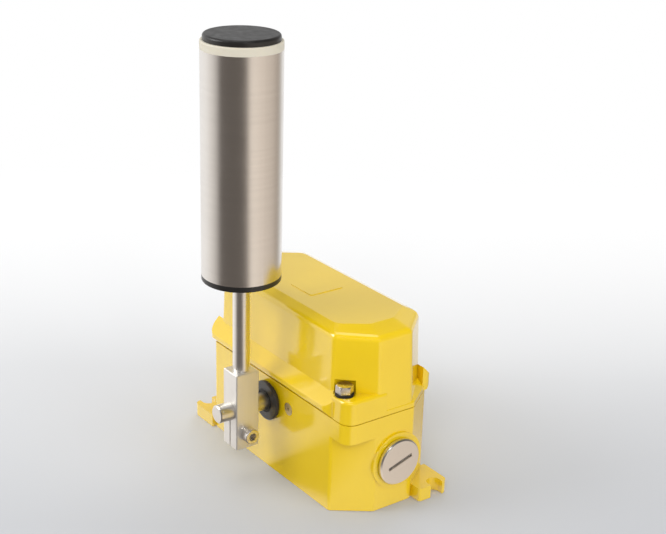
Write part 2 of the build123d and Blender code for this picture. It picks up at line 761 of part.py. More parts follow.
def make_centring_spring():
    """A coil round the shaft whose two legs point down and hold both pins between them."""
    leg_x = driver_pin_diameter / 2 + spring_wire / 2 + spring_leg_gap
    lean = degrees(asin((leg_x + spring_bend) / spring_radius))
    height = (spring_turns - 2 * lean / 360) * spring_pitch
    coil = Rot(0, 0, 90 + lean) * Helix(spring_pitch, height, spring_radius)
    first_leg = Line((-leg_x, spring_leg_reach, 0), (-leg_x, spring_radius + spring_bend, 0))
    last_leg = Line((leg_x, spring_radius + spring_bend, height), (leg_x, spring_leg_reach, height))
    first_bend = Spline(first_leg @ 1, coil @ 0, tangents=(first_leg % 1, coil % 0))
    last_bend = Spline(coil @ 1, last_leg @ 0, tangents=(coil % 1, last_leg % 0))
    path = Wire([first_leg, first_bend, coil, last_bend, last_leg])
    section = Plane(origin=path @ 0, z_dir=path % 0) * Circle(spring_wire / 2)
    return along_y(sweep(section, path=path), 0, spring_start_y, shaft_height)


def make_spring_anchor_pin():
    return rod_y(driver_pin_diameter / 2, spring_start_y - spring_wire, inner_wall_y + anchor_pin_depth, 0,
                 shaft_height - anchor_pin_radius_from_shaft)


def switch_screw_points():
    x = switch_face_x + switch_depth - switch_hole_inset
    return [(x, shaft_height - switch_hole_spacing / 2), (x, shaft_height + switch_hole_spacing / 2)]


def make_switch_body(side):
    low, high = side - switch_thickness / 2, side + switch_thickness / 2
    z_range = (shaft_height - switch_height / 2, shaft_height + switch_height / 2)
    body = box((switch_face_x, switch_face_x + switch_depth), (low, high), z_range)
    body = chamfer(body.edges().filter_by(Axis.Y), 0.6)
    well_end = switch_face_x + (plunger_length - plunger_showing) + plunger_travel + 0.3
    body -= rod_x(plunger_diameter / 2 + plunger_clearance, switch_face_x - 1, well_end, side, shaft_height)
    for x, z in switch_screw_points():
        body -= rod_y(switch_screw_diameter / 2 + 0.1, low - 1, high + 1, x, z)
    return body


def make_switch_plunger(side):
    plunger = rod_x(plunger_diameter / 2, cam_face_x, cam_face_x + plunger_length, side, shaft_height)
    return fillet(plunger.edges().group_by(Axis.X)[0], plunger_diameter * 0.4)


def make_switch_terminals():
    tabs = []
    back = switch_face_x + switch_depth
    for side in (-cam_spacing / 2, cam_spacing / 2):
        for step in (-1, 0, 1):
            z = shaft_height + step * tab_spacing
            tab = box((back, back + tab_length), (side - tab_width / 2, side + tab_width / 2),
                      (z - tab_thickness / 2, z + tab_thickness / 2))
            tabs.append(tab - rod_z(tab_width * 0.18, z - 2, z + 2, back + tab_length * 0.6, side))
    return group(tabs)


def switch_stack():
    """Y places of the switch stack: its two ends and the gap between the switches."""
    outer = cam_spacing / 2 + switch_thickness / 2
    inner = cam_spacing / 2 - switch_thickness / 2
    return outer, inner


def make_switch_bracket():
    outer, _ = switch_stack()
    wall = (-inner_wall_y, -inner_wall_y + bracket_thickness)
    upright_plate = (-outer - bracket_thickness, -outer)
    bracket = box((bracket_left, bracket_right), wall, (bracket_bottom, bracket_top))
    bracket += box((switch_face_x, bracket_right), (wall[0], -outer),
                   (bracket_bottom, bracket_bottom + bracket_thickness))
    bracket += box((switch_face_x, bracket_right), upright_plate,
                   (bracket_bottom, shaft_height + switch_height / 2))
    bracket -= rod_y(shaft_boss_diameter / 2 + bracket_boss_clearance, wall[0] - 1, wall[1] + 1, 0,
                     shaft_height)
    for side in (-wall_screw_side, wall_screw_side):
        bracket -= rod_y(wall_screw_diameter / 2 + 0.1, wall[0] - 1, wall[1] + 1, side, wall_screw_height)
    for x, z in switch_screw_points():
        bracket -= rod_y(switch_screw_diameter / 2 + 0.1, upright_plate[0] - 1, upright_plate[1] + 1, x, z)
    return bracket


def make_bracket_screws():
    screw = countersunk_socket_screw(wall_screw_diameter, wall_screw_head, wall_screw_length)
    return group(along_minus_y(screw, side, -half_width, wall_screw_height)
                 for side in (-wall_screw_side, wall_screw_side))


def make_bracket_nuts():
    nut = hex_nut(wall_screw_diameter, wall_screw_diameter * 0.8,
                  wall_screw_diameter / 2 + thread_clearance)
    start = -inner_wall_y + bracket_thickness
    return group(along_y(nut, side, start, wall_screw_height)
                 for side in (-wall_screw_side, wall_screw_side))


def make_switch_screws():
    outer, _ = switch_stack()
    head_y = -outer - bracket_thickness
    length = 2 * outer + bracket_thickness + switch_screw_diameter
    screw = pan_screw(switch_screw_diameter, length, switch_screw_diameter * 1.9,
                      switch_screw_diameter * 0.7)
    return group(along_minus_y(screw, x, head_y, z) for x, z in switch_screw_points())


def make_switch_spacers():
    _, inner = switch_stack()
    spacer = Cylinder(switch_screw_diameter, 2 * inner, align=upright)
    spacer -= Cylinder(switch_screw_diameter / 2 + 0.1, 6 * inner)
    return group(along_y(spacer, x, -inner, z) for x, z in switch_screw_points())


def make_switch_nuts():
    outer, _ = switch_stack()
    nut = hex_nut(switch_screw_diameter, switch_screw_diameter * 0.8,
                  switch_screw_diameter / 2 + thread_clearance)
    return group(along_y(nut, x, outer, z) for x, z in switch_screw_points())


def terminal_pole_sides():
    return [(index - (terminal_count - 1) / 2) * terminal_pitch for index in range(terminal_count)]


def cage_range():
    low = terminal_bottom + clamp_cage_lift
    return low, low + clamp_cage_height


def make_terminal_block():
    top = terminal_bottom + terminal_height
    x_range = (terminal_x - terminal_depth / 2, terminal_x + terminal_depth / 2)
    block = box(x_range, (-terminal_half_length, terminal_half_length), (terminal_bottom, top))
    block = chamfer(block.edges().filter_by(Axis.Y).group_by(Axis.Z)[-1], 2.0)
    for side in (-1, 1):
        ear = (side * (terminal_half_length - terminal_ear), side * (terminal_half_length + 1))
        block -= box((x_range[0] - 1, x_range[1] + 1), (min(ear), max(ear)),
                     (terminal_bottom + terminal_ear, top + 1))
        block -= rod_z(fixing_screw_diameter / 2 + 0.2, terminal_bottom - 1, top, terminal_x,
                       side * terminal_screw_line)
    low, high = cage_range()
    half_cage = clamp_cage_width / 2 + thread_clearance
    for side in terminal_pole_sides():
        block -= box((x_range[0] - 1, x_range[1] + 1), (side - half_cage, side + half_cage),
                     (low - thread_clearance, high + thread_clearance))
        for x in (terminal_x - terminal_screw_spacing / 2, terminal_x + terminal_screw_spacing / 2):
            block -= rod_z(terminal_screw_head / 2 + 0.2, high, top + 1, x, side)
    return block


def make_terminal_clamps():
    low, high = cage_range()
    cages = []
    half_depth = terminal_depth / 2 - clamp_cage_inset
    for side in terminal_pole_sides():
        cage = box((terminal_x - half_depth, terminal_x + half_depth),
                   (side - clamp_cage_width / 2, side + clamp_cage_width / 2), (low, high))
        cage -= rod_x(wire_hole_diameter / 2, terminal_x - terminal_depth, terminal_x + terminal_depth,
                      side, low + clamp_cage_floor)
        for x in (terminal_x - terminal_screw_spacing / 2, terminal_x + terminal_screw_spacing / 2):
            cage -= rod_z(terminal_screw_diameter / 2 + thread_clearance, low + clamp_cage_floor,
                          high + 1, x, side)
        cages.append(cage)
    return group(cages)


def make_terminal_screws():
    _, high = cage_range()
    screw = pan_screw(terminal_screw_diameter, terminal_screw_length, terminal_screw_head,
                      terminal_screw_head_height)
    screws = []
    for side in terminal_pole_sides():
        for x in (terminal_x - terminal_screw_spacing / 2, terminal_x + terminal_screw_spacing / 2):
            screws.append(Pos(x, side, high + terminal_screw_lift) * screw)
    return group(screws)


def make_terminal_fixing_screws():
    head_z = terminal_bottom + terminal_ear
    length = head_z - 2.5
    screw = pan_screw(fixing_screw_diameter, length, fixing_screw_diameter * 1.8,
                      fixing_screw_diameter * 0.6)
    return group(Pos(terminal_x, side, head_z) * screw
                 for side in (-terminal_screw_line, terminal_screw_line))


def make_earth_washer():
    top = floor_thickness + earth_boss_height
    half = earth_washer_width / 2
    washer = box((earth_x - half, earth_x + half), (earth_y - half, earth_y + half),
                 (top, top + earth_washer_thickness))
    return washer - rod_z(earth_screw_diameter / 2 + 0.2, top - 1, top + earth_washer_thickness + 1,
                          earth_x, earth_y)


def make_earth_screw():
    head_z = floor_thickness + earth_boss_height + earth_washer_thickness
    screw = pan_screw(earth_screw_diameter, head_z - 2.5, earth_screw_diameter * 1.8,
                      earth_screw_diameter * 0.6)
    return Pos(earth_x, earth_y, head_z) * screw


def make_lever_clamp_block():
    half = clamp_block_width / 2
    front, back = lever_side - clamp_block_depth / 2, lever_side + clamp_block_depth / 2
    block = box((-half, half), (front, back), (block_bottom, block_top))
    block = chamfer(block.edges(), clamp_block_chamfer)
    block -= rod_y(shaft_radius + seat_clearance, front - 1, back + 1, 0, shaft_height)
    block -= rod_z(rod_radius + seat_clearance, block_top - rod_thread_depth, block_top + 1, 0, lever_side)
    block -= box((-clamp_slot_width / 2, clamp_slot_width / 2), (front - 1, back + 1),
                 (block_bottom - 1, shaft_height))
    screw_z = shaft_height - clamp_screw_drop
    block -= rod_x(clamp_screw_diameter / 2 + 0.2, 0, half + 1, lever_side, screw_z)
    return block - rod_x(clamp_screw_diameter / 2 + thread_clearance, -half - 1, 0, lever_side, screw_z)


def make_clamp_screw():
    screw = socket_cap_screw(clamp_screw_diameter, clamp_block_width - 1.0)
    return along_x(screw, clamp_block_width / 2, lever_side, shaft_height - clamp_screw_drop)


def rod_ring_places():
    """Where each retaining ring starts along Z, below the lower and above the upper bearing."""
    return (lower_bearing_z - ring_axial_gap - ring_thickness,
            upper_bearing_z + bearing_width + ring_axial_gap)


def make_roller_rod():
    rod = rod_z(rod_radius, block_top - rod_thread_depth, rod_top, 0, lever_side)
    rod = chamfer(rod.edges().filter_by(GeomType.CIRCLE), 0.6)
    for start in rod_ring_places():
        rod -= Pos(0, lever_side, start - 0.05) * ring_groove(rod_radius, 0, ring_thickness + 0.1)
    return rod


def make_rod_retaining_rings():
    ring = retaining_ring(rod_radius - shaft_groove_depth + seat_clearance)
    return group(Pos(0, lever_side, start) * ring for start in rod_ring_places())


def bearing_parts(start):
    """Inner ring, outer ring and balls of one bearing whose lower face is at the given height."""
    inner_radius = rod_radius + seat_clearance
    outer_radius = bearing_outer_diameter / 2
    inner_land = inner_radius + bearing_ring_wall
    outer_land = outer_radius - bearing_ring_wall
    pitch_radius = (inner_land + outer_land) / 2
    ball_radius = bearing_ball_diameter / 2
    middle = start + bearing_width / 2
    track = Torus(pitch_radius, ball_radius + bearing_ball_clearance)
    inner = Cylinder(inner_land, bearing_width) - Cylinder(inner_radius, bearing_width * 2) - track
    outer = Cylinder(outer_radius, bearing_width) - Cylinder(outer_land, bearing_width * 2) - track
    balls = []
    for index in range(bearing_ball_count):
        angle = radians(360 * index / bearing_ball_count)
        balls.append(Pos(pitch_radius * cos(angle), lever_side + pitch_radius * sin(angle),
                         middle) * Sphere(ball_radius))
    place = Pos(0, lever_side, middle)
    return place * inner, place * outer, group(balls)


def make_roller_tube():
    return (rod_z(roller_diameter / 2, tube_bottom, tube_top, 0, lever_side)
            - rod_z(tube_inner_radius, tube_bottom - 1, tube_top + 1, 0, lever_side))


def make_roller_bottom_bush():
    bottom = tube_bottom - bottom_ring_height
    spigot_top = tube_bottom + bottom_spigot_length
    ring = rod_z(roller_diameter / 2, bottom, tube_bottom, 0, lever_side)
    ring = fillet(ring.edges().group_by(Axis.Z)[0], 1.0)
    bush = ring + rod_z(tube_inner_radius - seat_clearance, tube_bottom, spigot_top, 0, lever_side)
    bush -= rod_z(roller_bore / 2, bottom - 1, spigot_top + 1, 0, lever_side)
    return bush - rod_z(bearing_outer_diameter / 2 + seat_clearance, lower_bearing_z, spigot_top + 1, 0,
                        lever_side)


def make_roller_top_bush():
    spigot_bottom = tube_top - top_spigot_length
    ring_top = tube_top + top_ring_height
    ring = rod_z(roller_diameter / 2, tube_top, ring_top, 0, lever_side)
    ring = fillet(ring.edges().group_by(Axis.Z)[-1], 0.8)
    bush = ring + rod_z(tube_inner_radius - seat_clearance, spigot_bottom, tube_top, 0, lever_side)
    bush -= rod_z(roller_bore / 2, spigot_bottom - 1, ring_top + 1, 0, lever_side)
    bearing_top = upper_bearing_z + bearing_width
    return bush - rod_z(bearing_outer_diameter / 2 + seat_clearance, spigot_bottom - 1, bearing_top, 0,
                        lever_side)


def make_roller_top_cap():
    bottom = tube_top + top_ring_height
    cap = rod_z(cap_diameter / 2, bottom, bottom + cap_height, 0, lever_side)
    cap = fillet(cap.edges().group_by(Axis.Z)[-1], cap_edge_radius)
    return cap + rod_z(roller_bore / 2 - seat_clearance, bottom - cap_spigot_length, bottom, 0, lever_side)


def make_nodes():
    lower_inner, lower_outer, lower_balls = bearing_parts(lower_bearing_z)
    upper_inner, upper_outer, upper_balls = bearing_parts(upper_bearing_z)
    warning_side, stop_side = -cam_spacing / 2, cam_spacing / 2
    return {
        "housing_base": make_housing_base(),
        "housing_cover": make_housing_cover(),
        "cover_gasket": make_cover_gasket(),
        "cover_screws": make_cover_screws(),
        "cover_screw_washers": make_cover_screw_washers(),
        "cable_entry_plug": make_cable_entry_plug(),
        "plug_seal_ring": make_plug_seal_ring(),
        "shaft_seal_housing": make_shaft_seal_housing(),
        "shaft_lip_seal": make_shaft_lip_seal(),
        "front_bearing_bush": make_bearing_bush(bush_start_y, front_boss_inner_y, front_flange_y),
        "rear_bearing_bush": make_bearing_bush(rear_boss_inner_y, rear_boss_inner_y + bush_length,
                                               rear_flange_y),
        "actuator_shaft": make_actuator_shaft(),
        "shaft_retaining_rings": make_shaft_retaining_rings(),
        "warning_cam": make_cam(warning_side, warning_notch_angle),
        "stop_cam": make_cam(stop_side, stop_notch_angle),
        "set_screws": make_set_screws(),
        "spring_driver": make_spring_driver(),
        "centring_spring": make_centring_spring(),
        "spring_anchor_pin": make_spring_anchor_pin(),
        "warning_switch_body": make_switch_body(warning_side),
        "stop_switch_body": make_switch_body(stop_side),
        "warning_switch_plunger": make_switch_plunger(warning_side),
        "stop_switch_plunger": make_switch_plunger(stop_side),
        "switch_terminals": make_switch_terminals(),
        "switch_bracket": make_switch_bracket(),
        "bracket_screws": make_bracket_screws(),
        "bracket_nuts": make_bracket_nuts(),
        "switch_screws": make_switch_screws(),
        "switch_spacers": make_switch_spacers(),
        "switch_nuts": make_switch_nuts(),
        "terminal_block": make_terminal_block(),
        "terminal_clamps": make_terminal_clamps(),
        "terminal_screws": make_terminal_screws(),
        "terminal_fixing_screws": make_terminal_fixing_screws(),
        "earth_washer": make_earth_washer(),
        "earth_screw": make_earth_screw(),
        "lever_clamp_block": make_lever_clamp_block(),
        "clamp_screw": make_clamp_screw(),
        "roller_rod": make_roller_rod(),
        "rod_retaining_rings": make_rod_retaining_rings(),
        "lower_bearing_inner_ring": lower_inner,
        "lower_bearing_outer_ring": lower_outer,
        "lower_bearing_balls": lower_balls,
        "upper_bearing_inner_ring": upper_inner,
        "upper_bearing_outer_ring": upper_outer,
        "upper_bearing_balls": upper_balls,
        "roller_tube": make_roller_tube(),
        "roller_bottom_bush": make_roller_bottom_bush(),
        "roller_top_bush": make_roller_top_bush(),
        "roller_top_cap": make_roller_top_cap(),
    }


os.makedirs("parts", exist_ok=True)
for node_name, node_shape in make_nodes().items():
    export_step(node_shape, f"parts/{node_name}.step")
    print(node_name, "written")
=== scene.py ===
import json
import math

import bmesh
import bpy
from mathutils import Matrix, Vector


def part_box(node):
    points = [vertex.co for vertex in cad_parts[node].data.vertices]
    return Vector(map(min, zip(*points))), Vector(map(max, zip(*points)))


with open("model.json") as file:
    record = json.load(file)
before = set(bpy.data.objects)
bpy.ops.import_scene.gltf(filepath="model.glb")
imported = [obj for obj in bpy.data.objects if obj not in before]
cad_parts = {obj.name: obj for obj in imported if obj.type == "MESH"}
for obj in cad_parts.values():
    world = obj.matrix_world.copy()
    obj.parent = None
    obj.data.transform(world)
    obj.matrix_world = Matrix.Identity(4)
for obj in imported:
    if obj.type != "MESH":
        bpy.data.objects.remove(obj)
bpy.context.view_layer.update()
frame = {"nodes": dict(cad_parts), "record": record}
nodes = frame["nodes"]
print("frame loaded, nodes:", len(nodes))


def startMaterial(name):
    material = bpy.data.materials.new(name)
    material.use_nodes = True
    tree = material.node_tree
    shader = tree.nodes["Principled BSDF"]
    return material, tree, shader


def addNode(tree, kind, **values):
    node = tree.nodes.new(kind)
    for key, value in values.items():
        setattr(node, key, value)
    return node


def noiseAt(tree, vector, scale, detail=3.0, roughness=0.55, distortion=0.0):
    noise = addNode(tree, "ShaderNodeTexNoise")
    noise.inputs["Scale"].default_value = scale
    noise.inputs["Detail"].default_value = detail
    noise.inputs["Roughness"].default_value = roughness
    noise.inputs["Distortion"].default_value = distortion
    tree.links.new(vector, noise.inputs["Vector"])
    return noise.outputs["Fac"]


def stretched(tree, scale):
    # object coordinates with a different scale along each axis, for brushed and turned lines
    coordinates = addNode(tree, "ShaderNodeTexCoord")
    mapping = addNode(tree, "ShaderNodeMapping")
    mapping.inputs["Scale"].default_value = scale
    tree.links.new(coordinates.outputs["Object"], mapping.inputs["Vector"])
    return mapping.outputs["Vector"]


def shiftedBy(tree, vector, centre):
    # the vector as seen from centre
    shift = addNode(tree, "ShaderNodeVectorMath", operation="SUBTRACT")
    shift.inputs[1].default_value = centre
    tree.links.new(vector, shift.inputs[0])
    return shift.outputs["Vector"]


def lengthOf(tree, vector):
    length = addNode(tree, "ShaderNodeVectorMath", operation="LENGTH")
    tree.links.new(vector, length.inputs[0])
    return length.outputs["Value"]


def dotWith(tree, vector, direction):
    dot = addNode(tree, "ShaderNodeVectorMath", operation="DOT_PRODUCT")
    dot.inputs[1].default_value = direction
    tree.links.new(vector, dot.inputs[0])
    return dot.outputs["Value"]


def larger(tree, first, second):
    node = addNode(tree, "ShaderNodeMath", operation="MAXIMUM")
    tree.links.new(first, node.inputs[0])
    tree.links.new(second, node.inputs[1])
    return node.outputs["Value"]


def radiusRound(tree, centre, axis):
    # distance from an axis through centre, for rings left by turning
    coordinates = addNode(tree, "ShaderNodeTexCoord")
    keep = addNode(tree, "ShaderNodeVectorMath", operation="MULTIPLY")
    keep.inputs[1].default_value = [0.0 if k == axis else 1.0 for k in range(3)]
    tree.links.new(shiftedBy(tree, coordinates.outputs["Object"], centre), keep.inputs[0])
    return lengthOf(tree, keep.outputs["Vector"])


def ranged(tree, value, low, high, fromLow=0.3, fromHigh=0.7):
    # most of a noise lies between the two values that it is read from
    node = addNode(tree, "ShaderNodeMapRange")
    node.inputs["From Min"].default_value = fromLow
    node.inputs["From Max"].default_value = fromHigh
    node.inputs["To Min"].default_value = low
    node.inputs["To Max"].default_value = high
    tree.links.new(value, node.inputs["Value"])
    return node.outputs["Result"]


def blended(tree, factor, first, second):
    # first and second are colours or sockets that give one
    mix = addNode(tree, "ShaderNodeMix", data_type="RGBA")
    for socket, value in (("A", first), ("B", second)):
        if isinstance(value, tuple):
            mix.inputs[socket].default_value = (*value, 1.0)
        else:
            tree.links.new(value, mix.inputs[socket])
    tree.links.new(factor, mix.inputs["Factor"])
    return mix.outputs["Result"]


def raised(tree, shader, heights):
    # heights: list of (value, distance in metres), stacked as bumps
    last = None
    for value, distance in heights:
        bump = addNode(tree, "ShaderNodeBump")
        bump.inputs["Strength"].default_value = 1.0
        bump.inputs["Distance"].default_value = distance
        tree.links.new(value, bump.inputs["Height"])
        if last is not None:
            tree.links.new(last, bump.inputs["Normal"])
        last = bump.outputs["Normal"]
    tree.links.new(last, shader.inputs["Normal"])


def shaded(colour, share):
    return tuple(channel * share for channel in colour)


housingPaint = {
    "colour": (0.87, 0.60, 0.004),
    "deepColour": (0.83, 0.56, 0.003),
    "toneSize": 16.0,  # patches to the metre, as are the sizes below
    "roughness": (0.16, 0.22),
    "sheenSize": 60.0,
    "ior": 1.58,
    "coatWeight": 1.0,
    "coatIor": 1.6,
    "coatRoughness": 0.09,
    "peelSize": 620.0,
    "peelHeight": 0.000008,  # metres
    "castSize": 75.0,
    "castHeight": 0.00006,
}


def makeHousingPaint():
    # thick gloss paint over a casting: a fine orange peel on the casting's slow waves
    p = housingPaint
    material, tree, shader = startMaterial("yellowCastingPaint")
    plain = stretched(tree, (1, 1, 1))
    tone = noiseAt(tree, plain, p["toneSize"], 4.0, 0.6)
    colour = blended(tree, ranged(tree, tone, 0.0, 1.0), p["deepColour"], p["colour"])
    tree.links.new(colour, shader.inputs["Base Color"])
    sheen = noiseAt(tree, plain, p["sheenSize"], 5.0, 0.6)
    tree.links.new(ranged(tree, sheen, *p["roughness"]), shader.inputs["Roughness"])
    shader.inputs["IOR"].default_value = p["ior"]
    shader.inputs["Coat Weight"].default_value = p["coatWeight"]
    shader.inputs["Coat IOR"].default_value = p["coatIor"]
    shader.inputs["Coat Roughness"].default_value = p["coatRoughness"]
    peel = noiseAt(tree, plain, p["peelSize"], 2.0, 0.5)
    cast = noiseAt(tree, plain, p["castSize"], 2.0, 0.4)
    raised(tree, shader, [(cast, p["castHeight"]), (peel, p["peelHeight"])])
    return material


brushing = {
    "broadShare": 0.13,  # scale of the broad lines, as a share of the fine ones'
    "fineWeight": 0.65,
    "broadWeight": 0.35,
    "smudgeSize": 45.0,
}

# lines run across the axis that has the largest scale
brushedLooks = {
    "ground_steel": {
        "name": "groundRod", "colour": (0.96, 0.935, 0.89), "roughness": (0.30, 0.38),
        "scale": (12, 12, 2600), "height": 0.000001,
    },
    "shaft_steel": {
        "name": "groundShaft", "colour": (0.91, 0.88, 0.83), "roughness": (0.28, 0.36),
        "scale": (12, 2600, 12), "height": 0.000001,
    },
    "roller_steel": {
        "name": "brushedRoller", "colour": (0.86, 0.83, 0.795), "roughness": (0.19, 0.24),
        "scale": (5, 5, 2600), "height": 0.0000015, "streak": 0.10, "turnedAbout": "Z", "anisotropy": 0.7,
    },
    "block_steel": {
        "name": "brushedBlock", "colour": (0.91, 0.88, 0.835), "roughness": (0.40, 0.48),
        "scale": (1800, 1800, 12), "height": 0.0000005, "streak": 0.08, "metal": 0.8,
    },
    "spring_steel": {
        "name": "springWire", "colour": (0.33, 0.33, 0.34), "roughness": (0.25, 0.35),
        "scale": (700, 700, 700), "height": 0.000004,
    },
    "bearing_steel": {
        "name": "bearingSteel", "colour": (0.70, 0.70, 0.71), "roughness": (0.08, 0.14),
        "scale": (10, 10, 1800), "height": 0.000002,
    },
    "bearing_bronze": {
        "name": "turnedBronze", "colour": (0.56, 0.34, 0.14), "roughness": (0.25, 0.38),
        "scale": (10, 1700, 10), "height": 0.000005,
    },
}


def makeBrushedMetal(name, colour, roughness, scale, height, streak=0.12, metal=1.0,
                     turnedAbout=None, anisotropy=0.0):
    p = brushing
    material, tree, shader = startMaterial(name)
    fine = noiseAt(tree, stretched(tree, scale), 1.0, 6.0, 0.75)
    broadScale = tuple(value * p["broadShare"] for value in scale)
    broad = noiseAt(tree, stretched(tree, broadScale), 1.0, 3.0, 0.6)
    smudge = noiseAt(tree, stretched(tree, (1, 1, 1)), p["smudgeSize"], 4.0, 0.6)
    soft = addNode(tree, "ShaderNodeMath", operation="MULTIPLY")
    soft.inputs[1].default_value = p["broadWeight"]
    tree.links.new(broad, soft.inputs[0])
    lines = addNode(tree, "ShaderNodeMath", operation="MULTIPLY_ADD")
    lines.inputs[1].default_value = p["fineWeight"]
    tree.links.new(fine, lines.inputs[0])
    tree.links.new(soft.outputs["Value"], lines.inputs[2])
    share = ranged(tree, lines.outputs["Value"], 0.0, 1.0)
    tone = blended(tree, share, shaded(colour, 1.0 - streak), colour)
    tree.links.new(tone, shader.inputs["Base Color"])
    shader.inputs["Metallic"].default_value = metal
    tree.links.new(ranged(tree, smudge, *roughness), shader.inputs["Roughness"])
    if turnedAbout is not None:
        shader.inputs["Anisotropic"].default_value = anisotropy
        around = addNode(tree, "ShaderNodeTangent", direction_type="RADIAL", axis=turnedAbout)
        tree.links.new(around.outputs["Tangent"], shader.inputs["Tangent"])
    raised(tree, shader, [(fine, height)])
    return material


turnedPlug = {
    "colour": (0.86, 0.82, 0.76),
    "roughness": (0.30, 0.38),
    "ringSize": 2200.0,
    "smudgeSize": 120.0,
    "height": 0.000001,
    "streak": 0.1,
}


def makeTurnedPlug():
    # faint rings round the plug's axis, which is X, as a lathe leaves them on its face
    p = turnedPlug
    material, tree, shader = startMaterial("turnedPlug")
    low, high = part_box("cable_entry_plug")
    centre = [(a + b) / 2 for a, b in zip(low, high)]
    rings = addNode(tree, "ShaderNodeTexNoise", noise_dimensions="1D")
    rings.inputs["Scale"].default_value = p["ringSize"]
    rings.inputs["Detail"].default_value = 5.0
    rings.inputs["Roughness"].default_value = 0.7
    tree.links.new(radiusRound(tree, centre, 0), rings.inputs["W"])
    share = ranged(tree, rings.outputs["Fac"], 0.0, 1.0)
    tone = blended(tree, share, shaded(p["colour"], 1.0 - p["streak"]), p["colour"])
    tree.links.new(tone, shader.inputs["Base Color"])
    shader.inputs["Metallic"].default_value = 1.0
    smudge = noiseAt(tree, stretched(tree, (1, 1, 1)), p["smudgeSize"], 4.0, 0.6)
    tree.links.new(ranged(tree, smudge, *p["roughness"]), shader.inputs["Roughness"])
    raised(tree, shader, [(rings.outputs["Fac"], p["height"])])
    return material


plating = {
    "crystalSize": 1400.0,
    "crystalHeight": 0.000001,
    "patchSize": 160.0,
}

platedLooks = {
    "screw_steel": {
        "name": "platedScrew", "colour": (0.78, 0.745, 0.71), "tint": (0.86, 0.82, 0.77),
        "roughness": (0.22, 0.32),
    },
    "sheet_steel": {
        "name": "platedSheet", "colour": (0.55, 0.55, 0.53), "tint": (0.62, 0.60, 0.52),
        "roughness": (0.30, 0.42),
    },
    "terminal_brass": {
        "name": "terminalBrass", "colour": (0.64, 0.44, 0.16), "tint": (0.70, 0.52, 0.22),
        "roughness": (0.24, 0.36),
    },
}


def makePlatedMetal(name, colour, tint, roughness):
    # fine crystals with a slight tint from patch to patch
    p = plating
    material, tree, shader = startMaterial(name)
    plain = stretched(tree, (1, 1, 1))
    crystals = addNode(tree, "ShaderNodeTexVoronoi")
    crystals.inputs["Scale"].default_value = p["crystalSize"]
    tree.links.new(plain, crystals.inputs["Vector"])
    patch = noiseAt(tree, plain, p["patchSize"], 4.0, 0.6)
    tone = blended(tree, ranged(tree, patch, 0.0, 1.0), colour, tint)
    tree.links.new(tone, shader.inputs["Base Color"])
    shader.inputs["Metallic"].default_value = 1.0
    tree.links.new(ranged(tree, patch, *roughness), shader.inputs["Roughness"])
    raised(tree, shader, [(crystals.outputs["Distance"], p["crystalHeight"])])
    return material


moulding = {
    "flowSize": 55.0,
    "glossSize": 190.0,
    "softDepth": (0.004, 0.003, 0.002),  # metres that light goes into a pale plastic
}

mouldedLooks = {
    "black_rubber": {
        "name": "blackRubber", "colour": (0.022, 0.021, 0.020), "roughness": (0.55, 0.72),
        "grain": 2600.0, "height": 0.00002, "variation": 0.3,
    },
    "seam_rubber": {
        "name": "seamRubber", "colour": (0.050, 0.034, 0.012), "roughness": (0.55, 0.70),
        "grain": 2600.0, "height": 0.00001, "variation": 0.3,
    },
    "black_plastic": {
        "name": "blackPlastic", "colour": (0.017, 0.0155, 0.0145), "roughness": (0.28, 0.40),
        "grain": 3200.0, "height": 0.000004, "variation": 0.25,
    },
    "seal_plastic": {
        "name": "glossBlackPlastic", "colour": (0.045, 0.040, 0.036), "roughness": (0.16, 0.24),
        "grain": 3200.0, "height": 0.000003, "variation": 0.25,
    },
    "cream_plastic": {
        "name": "creamPlastic", "colour": (0.64, 0.59, 0.48), "roughness": (0.34, 0.46),
        "grain": 1900.0, "height": 0.00001, "variation": 0.06, "soft": 0.1,
    },
    "grey_plastic": {
        "name": "greyPlastic", "colour": (0.24, 0.25, 0.26), "roughness": (0.42, 0.55),
        "grain": 2400.0, "height": 0.00001, "variation": 0.08,
    },
    "white_plastic": {
        "name": "whitePlastic", "colour": (0.64, 0.64, 0.60), "roughness": (0.38, 0.50),
        "grain": 2400.0, "height": 0.00001, "variation": 0.06, "soft": 0.05,
    },
}


def makeMoulded(name, colour, roughness, grain, height, variation, soft=0.0):
    # moulded plastic or rubber: a fine grain, flow tones and uneven gloss
    p = moulding
    material, tree, shader = startMaterial(name)
    plain = stretched(tree, (1, 1, 1))
    flow = noiseAt(tree, plain, p["flowSize"], 4.0, 0.6, 0.4)
    tone = blended(tree, ranged(tree, flow, 0.0, 1.0), shaded(colour, 1.0 - variation), colour)
    tree.links.new(tone, shader.inputs["Base Color"])
    gloss = noiseAt(tree, plain, p["glossSize"], 4.0, 0.6)
    tree.links.new(ranged(tree, gloss, *roughness), shader.inputs["Roughness"])
    if soft > 0:
        shader.inputs["Subsurface Weight"].default_value = soft
        shader.inputs["Subsurface Radius"].default_value = p["softDepth"]
    raised(tree, shader, [(noiseAt(tree, plain, grain, 3.0, 0.6), height)])
    return material


finishes = {"yellow_paint": makeHousingPaint(), "plug_metal": makeTurnedPlug()}
finishes.update({key: makeBrushedMetal(**look) for key, look in brushedLooks.items()})
finishes.update({key: makePlatedMetal(**look) for key, look in platedLooks.items()})
finishes.update({key: makeMoulded(**look) for key, look in mouldedLooks.items()})
print("finishes made:", len(finishes))

# pieces whose finish differs from their slot's usual one
ownFinish = {
    "actuator_shaft": "shaft_steel",
    "spring_anchor_pin": "shaft_steel",
    "shaft_seal_housing": "seal_plastic",
    "cover_gasket": "seam_rubber",
}

for subpart in frame["record"]["subparts"]:
    node = nodes[subpart["node"]]
    finish = finishes[ownFinish.get(subpart["node"], subpart["material_slot"])]
    if not node.data.materials:
        node.data.materials.append(finish)
    for slot in node.material_slots:
        slot.material = finish
print("finishes given to the CAD nodes")


